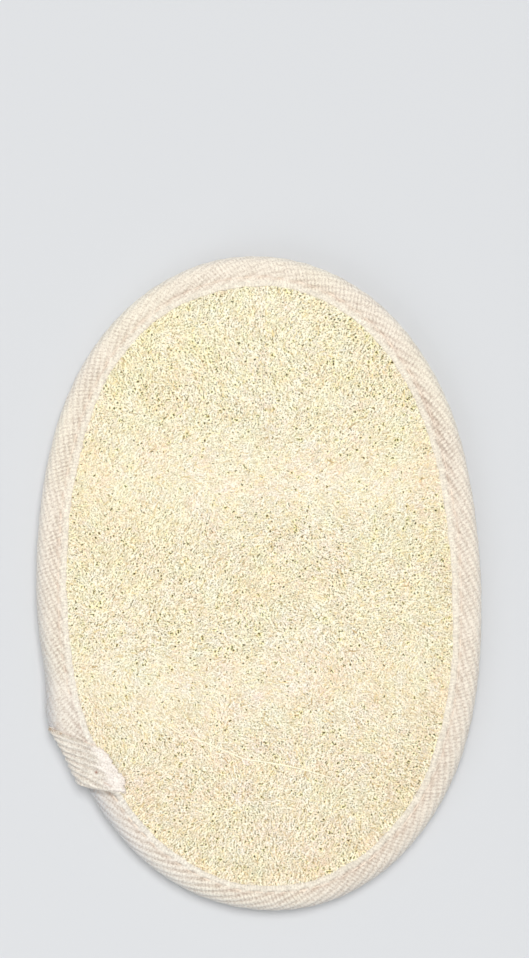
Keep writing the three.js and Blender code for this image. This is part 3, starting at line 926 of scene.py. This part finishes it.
    # In the turned-back end's shade, on both sides of it
    below = S - (JOIN_NOSE + 7.3 + 0.81 * (d + 1.25))
    above = JOIN_NOSE + PERIMETER - 7.3 + 0.91 * (d + 2.55) - S
    shade = np.exp(-(((below - 0.65) / 0.6) ** 2)) * (q > 0) * (1 - ease(d, 3.5, 6.0))
    c = c * (1 - 0.42 * shade[..., None])
    shade = np.exp(-(((above - 0.15) / 0.45) ** 2)) * (q > 1) * ease(lattice(S, q, 0.8, 218), 0.2, 0.7)
    c = c * (1 - 0.45 * shade[..., None]) + tan * 0.45 * shade[..., None]
    at = spot(S, d)
    stain = np.exp(-(((at - np.array([-44.6, -31.5])) / np.array([1.0, 0.8])) ** 2).sum(-1)) * (z > 0)
    stain = np.clip(stain * (0.2 + 1.5 * lattice(at[..., 0], at[..., 1], 0.5, 216)), 0, 1)[..., None]
    c = c * (1 - 0.30 * stain) + linear(188, 162, 140) * 0.30 * stain
    # How strongly the weave shows: uneven, and hardly at all in the selvedge
    show = (1 - 0.85 * sel) * (0.5 + 1.0 * cloud(S, q * 1.5, 5.0, 214)) * (0.74 + 0.34 * ease(d, 0.8, 3.4))
    show = show * (1.05 + 0.26 * np.exp(-(((turn - 292) / 26) ** 2)) - 0.02 * np.exp(-(((turn - 260) / 14) ** 2)) - 0.14 * np.exp(-(((turn - 132) / 16) ** 2)) + 0.15 * np.exp(-(((turn - 40) / 25) ** 2))
                   - 0.22 * np.exp(-(((turn - 108) / 26) ** 2)))
    c = np.concatenate([c, show[..., None]], -1)
    dots = 1 - 0.65 * np.exp(-(((turn - 268) / 26) ** 2))
    dots = np.concatenate([dots, np.ones((rows, length - outer))], 1)
    C = np.concatenate([c, np.broadcast_to(np.append(cream * 0.9, 0.5), (rows, length - outer, 4))], 1)
    # The face-side lip: the selvedge's white, made brighter as painted light against the shade at the tape's inner edge
    C[:, -2:] = np.append(white * 1.04, 0.1)
    U = np.concatenate([u, np.broadcast_to(u[:, -1:], (rows, 2)), np.zeros((rows, length - outer - 2))], 1)
    V = np.concatenate([v, np.broadcast_to(v[:, -1:], (rows, 2)), np.zeros((rows, length - outer - 2))], 1)
    quads = grid_faces(rows, length).reshape(-1, 4)
    first, last = np.arange(length)[::-1], (rows - 1) * length + np.arange(length)
    corners = np.concatenate([quads.ravel(), first, last])
    totals = np.concatenate([np.full(len(quads), 4), [length, length]])
    # The map for baking: five lengths of tape, one above the other
    strips = 5
    row_of, col_of = corners // length, corners % length
    face_row = np.repeat(np.arange(rows - 1), length)
    strip = np.concatenate([np.repeat(face_row * strips // (rows - 1), 4), np.zeros(length), np.full(length, strips - 1)])
    col_face = np.tile(np.arange(length), rows - 1)
    wrap = np.concatenate([np.repeat(col_face == length - 1, 4), np.zeros(2 * length, bool)])
    col = np.where(wrap & (col_of == 0), length, col_of)
    uv_u = (row_of - strip * (rows - 1) / strips) / ((rows - 1) / strips)
    uv = np.stack([0.005 + 0.99 * uv_u, (strip + 0.02 + 0.96 * col / length) / strips], -1)
    weave = np.stack([U.ravel()[corners], V.ravel()[corners]], -1)
    ob = mesh_object("binding_tape_cloth", points, corners, totals, uv, C.reshape(-1, 4), weave, dots)
    piece(ob, TAPE, "cotton_tape", "binding_tape")
    return ob


# ------------------------------------------------------------ turned-back end


def tape_end():
    rows = 116
    uu = np.linspace(-1, 1, rows)
    face = lambda d: np.maximum(NOSE + 0.1 * np.maximum(0, (d - 5) / 1.5), np.where(d > 6, FACE_RISE(d), 0)) + 0.3
    rear = lambda d: np.maximum(NOSE + 0.1 * np.maximum(0, (d - 5) / 1.5), np.where(d > 6, BACK_DROP(d), 0)) + 0.3
    thick = 0.85
    n_f, n_n, n_b = 52, 35, 16
    out = np.interp(uu, [-1, -0.7, -0.4, 0, 0.3, 0.6, 1], [2.55, 2.3, 1.95, 1.6, 1.5, 1.42, 1.25])
    D, Z = [], []
    for u, o in zip(uu, out):
        at = np.array([u * 6.2])
        ragged = (lattice(at, at * 0, 1.5, 301)[0] - 0.5) * 1.1 + (lattice(at, at * 0, 0.45, 306)[0] - 0.5) * 0.5
        reach = 8.1 - 1.75 * u * u + ragged
        df = np.linspace(reach, NOSE_IN, n_f)[:-1]
        t = np.radians(np.linspace(90, -90, n_n))
        dn = -o + (NOSE_IN + o) * (1 - np.cos(t))
        db = np.linspace(NOSE_IN, WRAP_BACK, n_b)[1:]
        # The cut end thins out towards the loofah
        zf, zb = face(df) + thick - 0.22 - 0.72 * ease(df, reach - 2.6, reach), -(rear(db) + thick - 0.22)
        half = NOSE + 0.3 + thick - 0.22
        D.append(np.concatenate([df, dn, db]))
        Z.append(np.concatenate([zf, half * np.sin(t), zb]))
    D, Z = np.array(D), np.array(Z)
    k, mid = D.shape[1], n_f - 1 + n_n // 2
    path = np.concatenate([np.zeros((rows, 1)), np.cumsum(np.hypot(np.diff(D, axis=1), np.diff(Z, axis=1)), 1)], 1)
    p = path[:, [mid]] - path
    across = uu[:, None] * 6.6
    # Seen from above, the strip crosses the edge straight and at a slant
    h = D + out[:, None]
    front = np.arange(k)[None] <= mid
    lean = (0.86 - 0.05 * uu)[:, None]
    nose = (JOIN_NOSE + 7.3 * uu)[:, None]
    s = nose + lean * np.where(front, h, -h)
    # Rope-like ribs that fan out a little from the edge
    plan = spot(nose + lean * h, D) - np.array([-126.2, -5.8])
    turn = np.arctan2(plan[..., 1], plan[..., 0]) * 93 / 1.23
    turn = np.where(front, turn, 2 * turn[:, [mid]] - turn)
    far = np.hypot(plan[..., 0], plan[..., 1])
    far = np.where(front, far, 2 * far[:, [mid]] - far)
    u = -turn + (lattice(across, p, 4.0, 302) - 0.5) * 0.5 + (lattice(across, p, 1.2, 307) - 0.5) * 0.22
    v = far / 0.68 + 0.55 * turn + (lattice(across, p, 2.0, 311) - 0.5) * 0.8
    rib = 0.5 + 0.5 * np.cos(TURN * u)
    strand = 0.5 + 0.5 * np.cos(TURN * v)
    pale = ease(D + 1.8 * (lattice(across, p, 1.7, 308) - 0.5), 3.3, 5.8) * front
    relief = rib**0.8 * (0.20 + 0.15 * strand) * (1 - 0.65 * pale) + 0.14 * pale * lattice(across, p, 0.7, 303)
    relief += (lattice(across, p, 0.42, 312) - 0.5) * 0.10
    edge = 1 - np.abs(uu)[:, None]
    # Rolled sides, soft and thick
    relief -= 0.62 * (1 - ease(edge, 0, 0.12)) ** 1.7
    relief += 0.14 * np.exp(-(((edge - 0.17) / 0.10) ** 2))
    relief += (lattice(across, p, 3.2, 304) - 0.5) * 0.26
    at = spot(s, D)
    hole = np.exp(-(((at - np.array([-36.25, -41.93])) / 0.34) ** 2).sum(-1)) * front
    relief -= 0.30 * hole
    td, tz = np.gradient(D, axis=1), np.gradient(Z, axis=1)
    ln = np.maximum(np.hypot(td, tz), 1e-9)
    nd, nz = tz / ln, -td / ln
    relief[:, 0] -= 0.12
    Do, Zo = D + nd * relief, Z + nz * relief
    # Its sides come down onto the tape
    deep = thick - 0.12 + 0.55 * (1 - ease(edge, 0, 0.25))
    Di, Zi = D - nd * deep, Z - nz * deep
    top = np.concatenate([spot(s, Do), (EDGE_MID + Zo)[..., None]], -1)
    low = np.concatenate([spot(s, Di), (EDGE_MID + Zi)[..., None]], -1)
    points = np.concatenate([top, low[:, ::-1]], 1)
    length = 2 * k
    cream, white = linear(244, 238, 226), linear(242, 235, 227)
    c = cream * (1 - pale[..., None]) + white * pale[..., None]
    c = c * (1 - 0.15 * ((1 - rib) * (1 - 0.75 * pale))[..., None] * np.array([0.97, 1.0, 1.0]))
    c = c * (1 - 0.18 * (rib * (1 - strand) * (1 - 0.7 * pale))[..., None])
    # Painted shade on the rolled nose over the edge, greyer there
    painted_roll_shade = (1 - ease(np.abs(p), 0.3, 3.4))[..., None]
    c = c * (1 - painted_roll_shade * np.array([0.11, 0.08, 0.02]))
    c = c * (1 - hole[..., None]) + linear(150, 108, 92) * hole[..., None]
    # A short run of the closing stitch, and the stained raw corner
    a, b = np.array([-34.3, -44.3]), np.array([-32.8, -45.1])
    along = np.clip(((at - a) @ (b - a)) / ((b - a) @ (b - a)), 0, 1)
    seam = np.exp(-((np.linalg.norm(at - a - along[..., None] * (b - a), axis=-1) / 0.17) ** 2)) * front
    c = c * (1 - 0.55 * seam[..., None]) + linear(182, 150, 134) * 0.55 * seam[..., None]
    fray = np.exp(-(((at - np.array([-44.6, -32.4])) / np.array([1.3, 1.0])) ** 2).sum(-1)) * front
    fray = np.clip(fray * (0.4 + 1.2 * lattice(at[..., 0], at[..., 1], 0.5, 309)), 0, 1)
    c = c * (1 - 0.30 * fray[..., None]) + linear(198, 172, 150) * 0.30 * fray[..., None]
    c = c * (1 + 0.22 * (lattice(across, p, 0.42, 305) - 0.5))[..., None]
    show = (1 - 0.8 * pale) * (0.5 + 0.9 * lattice(across, p, 2.2, 310))
    c = np.concatenate([c, show[..., None]], -1)
    C = np.concatenate([c, np.broadcast_to(np.append(cream * 0.85, 0.5), c.shape)], 1)
    U, V = np.concatenate([u, u[:, ::-1]], 1), np.concatenate([v, v[:, ::-1]], 1)
    quads = grid_faces(rows, length).reshape(-1, 4)
    ladder = np.arange(k - 1)
    first = np.stack([ladder, length - 1 - ladder, length - 2 - ladder, ladder + 1], -1)
    last = (rows - 1) * length + first[:, ::-1]
    faces = np.concatenate([quads, first, last])
    corners, totals = faces.ravel(), np.full(len(faces), 4)
    r_of, c_of = corners // length, corners % length
    wrapped = np.concatenate([np.repeat(np.tile(np.arange(length), rows - 1) == length - 1, 4), np.zeros(2 * 4 * (k - 1), bool)])
    col = np.where(wrapped & (c_of == 0), length, c_of)
    uv = np.stack([0.02 + 0.9 * r_of / (rows - 1), 0.02 + 0.96 * col / length], -1)
    ends = len(quads) * 4
    uv[ends:, 0] = np.where(np.arange(len(corners) - ends) < 4 * (k - 1), 0.94, 0.97) + 0.012 * (c_of[ends:] >= k)
    uv[ends:, 1] = 0.02 + 0.96 * np.where(c_of[ends:] < k, c_of[ends:], length - 1 - c_of[ends:]) / k
    weave = np.stack([U.ravel()[corners], V.ravel()[corners]], -1)
    ob = mesh_object("tape_end_cloth", points, corners, totals, uv, C.reshape(-1, 4), weave, np.ones(points.shape[:2]))
    piece(ob, TAPE_END, "cotton_tape", "tape_end_wrap")
    tape_end_fray(top[:, 0], top[3, n_f + 2:mid + 1])
    return ob


def tape_end_fray(inner, corner):
    """Loose yarn ends along the cut end and a few at the upper outer corner."""
    rng = np.random.default_rng(61)
    n, m = 260, 34
    f = rng.uniform(0, len(inner) - 1.001, n)
    i = f.astype(int)
    at = inner[i] + (inner[i + 1] - inner[i]) * (f - i)[:, None]
    j = rng.integers(0, len(corner), m)
    at2 = corner[j] + rng.normal(0, 0.22, (m, 3)) * (1, 1, 0)
    t = np.linspace(0, 1, 4)
    way = rng.normal(-0.05, 0.7, n)
    size = np.clip(rng.lognormal(math.log(0.75), 0.4, n), 0.3, 1.6)
    bend = rng.normal(0, 0.8, (n, 1)) * t
    run = np.stack([np.cos(way[:, None] + bend), np.sin(way[:, None] + bend)], -1)
    line = np.concatenate([at[:, None, :2] + ((t - 0.55) * size[:, None])[..., None] * run,
                           (at[:, 2:3] + 0.10 - 0.22 * t**1.5)[..., None]], -1)
    way = rng.normal(-0.35, 0.5, m)
    size = np.clip(rng.lognormal(math.log(0.9), 0.3, m), 0.5, 1.5)
    run = np.stack([np.cos(way[:, None] + 0 * t), np.sin(way[:, None] + 0.4 * t)], -1)
    line2 = np.concatenate([at2[:, None, :2] + ((t - 0.3) * size[:, None])[..., None] * run,
                            (at2[:, 2:3] + 0.16 + 0.10 * np.sin(t * 2.4) + 0.25 * t)[..., None]], -1)
    pick = rng.random(m)[:, None]
    c1 = linear(240, 232, 224) * rng.normal(1, 0.05, (n, 1))
    c2 = np.where(pick < 0.22, linear(206, 184, 162), linear(236, 228, 216)) * rng.normal(1, 0.06, (m, 1))
    c = np.concatenate([c1, c2])[:, None] * np.ones((1, 4, 1))
    thick = np.concatenate([np.full(n, 0.075), np.full(m, 0.10)])[:, None] * (1 - 0.5 * t)
    return piece(strands("tape_end_fray", np.concatenate([line, line2]), thick, c, 4), THREAD, "cotton_tape")


def tape_fuzz():
    """Short cotton fibres standing out of the tape's edge on the face."""
    rng = np.random.default_rng(62)
    n = 1500
    s = rng.uniform(JOIN + 8, JOIN + PERIMETER - 1, n)
    d = front_reach(s) - rng.uniform(0.0, 0.5, n)
    way = rng.normal(0, 0.9, n)
    size = np.clip(rng.lognormal(math.log(0.55), 0.4, n), 0.25, 1.2)
    t = np.linspace(0, 1, 3)
    ss = s[:, None] + size[:, None] * np.sin(way)[:, None] * t
    dd = d[:, None] + size[:, None] * np.cos(way)[:, None] * t
    z = EDGE_MID + NOSE + 0.10 + 0.06 * np.sin(t * 3)[None] - 0.20 * t[None] ** 2 + rng.normal(0, 0.03, n)[:, None]
    line = np.concatenate([spot(ss, dd), z[..., None]], -1)
    c = linear(236, 227, 214) * rng.normal(1, 0.05, n)[:, None, None] * np.ones((1, 3, 1))
    r = np.clip(rng.lognormal(math.log(0.06), 0.25, n), 0.035, 0.1)[:, None] * (1 - 0.45 * t)
    return piece(strands("binding_tape_fuzz", line, r, c, 3), THREAD, "cotton_tape")


# -------------------------------------------------------------------- stitches


def stitches(name, side, seed, node_name):
    rng = np.random.default_rng(seed)
    pitch = 2.7
    from_s, to_s = JOIN + WRAP_SHEAR * 8 * side + 7.0, JOIN + PERIMETER + WRAP_SHEAR * 8 * side - 7.0
    count = int((to_s - from_s) / pitch)
    start = np.linspace(from_s, to_s, count + 1)[:-1]
    t = np.linspace(0, 1, 9)
    s = start[:, None] + pitch * (0.06 + 0.88 * t)
    depth = seam_in(s) if side > 0 else SEAM_IN * TAPE_BACK / TAPE_FRONT
    d = depth + (lattice(s, s * 0, 14, seed) - 0.5) * 0.4 + rng.normal(0, 0.04, count)[:, None] + 0.06 * (t - 0.5)
    rise = NOSE - 0.30 + 0.26 * np.sin(np.pi * t) ** 0.5 - 0.16
    z = EDGE_MID + side * (rise[None] + rng.normal(0, 0.02, count)[:, None])
    line = np.concatenate([spot(s, d), z[..., None]], -1)
    r = np.broadcast_to(0.17 * (1 - 0.25 * np.abs(2 * t - 1) ** 3), (count, 9))
    c = linear(231, 217, 201) * rng.normal(1, 0.07, count)[:, None, None] * np.ones((1, 9, 1))
    return piece(strands(name, line, r, c, 6), THREAD, "thread", node_name)


# -------------------------------------------------------------------- assembly

mat = piece(loofah_mat(), MAT, "loofah", "loofah_pad")
loofah_felt()
loofah_face()
loofah_back()
stray_strand()
binding_tape()
tape_end()
tape_fuzz()
stitches("seam_stitches_face", 1, 51, "seam_thread_face")
stitches("seam_stitches_back", -1, 52, "seam_thread_back")

# ----------------------------------------------------------------------- stage

floor_mesh = bpy.data.meshes.new("floor")
floor_mesh.from_pydata([(-3, -3, 0), (3, -3, 0), (3, 3, 0), (-3, 3, 0)], [], [(0, 1, 2, 3)])
floor_ob = bpy.data.objects.new("floor", floor_mesh)
floor_ob.data.materials.append(FLOOR)
bpy.context.scene.collection.objects.link(floor_ob)

scene = bpy.context.scene
scene.view_settings.view_transform = "Standard"
scene.view_settings.look = "None"
scene.view_settings.exposure = 0
scene.view_settings.gamma = 1

world = bpy.data.worlds.new("soft_room")
world.use_nodes = True
sky = world.node_tree
height = node(sky, "SeparateXYZ")
put(sky, height.inputs[0], node(sky, "TexCoord").outputs["Generated"])
# A pale backdrop near the horizon, a softer dome above
shades = ramp(sky, height.outputs[2], [(0.0, (0.70, 0.71, 0.725)), (0.10, (0.62, 0.63, 0.64)), (0.38, (0.34, 0.346, 0.352))])
put(sky, sky.nodes["Background"].inputs[0], shades)
sky.nodes["Background"].inputs[1].default_value = 1.0
scene.world = world


def area_light(name, place, aim, size, power, colour=(1, 1, 1)):
    data = bpy.data.lights.new(name, "AREA")
    data.energy, data.size, data.color = power, size, colour
    ob = bpy.data.objects.new(name, data)
    ob.location = place
    way = np.array(aim, float) - np.array(place, float)
    ob.rotation_euler = Vector(way).to_track_quat("-Z", "Y").to_euler()
    scene.collection.objects.link(ob)
    return ob


key = bpy.data.lights.new("key", "SUN")
key.energy, key.angle, key.color = 2.38, 0.52, (1, 0.99, 0.972)
key_ob = bpy.data.objects.new("key", key)
key_ob.location = (0.15, 0.56, 2.04)
key_ob.rotation_euler = Vector((-0.15, -0.56, -2.04)).to_track_quat("-Z", "Y").to_euler()
scene.collection.objects.link(key_ob)
area_light("fill", (-0.9, -1.2, 1.3), (0, 0, 0), 1.5, 8, (1, 0.99, 0.98))
# Straight down, with the frame's middle a little above the pad's
camera = bpy.data.cameras.new("camera")
camera.lens = 120
camera.sensor_width = 36
camera.sensor_fit = "AUTO"
camera.clip_start, camera.clip_end = 0.05, 10
camera_ob = bpy.data.objects.new("camera", camera)
camera_ob.location = (0.001155, 0.02327, 0.718)
camera_ob.rotation_euler = (0, 0, 0)
scene.collection.objects.link(camera_ob)
scene.camera = camera_ob
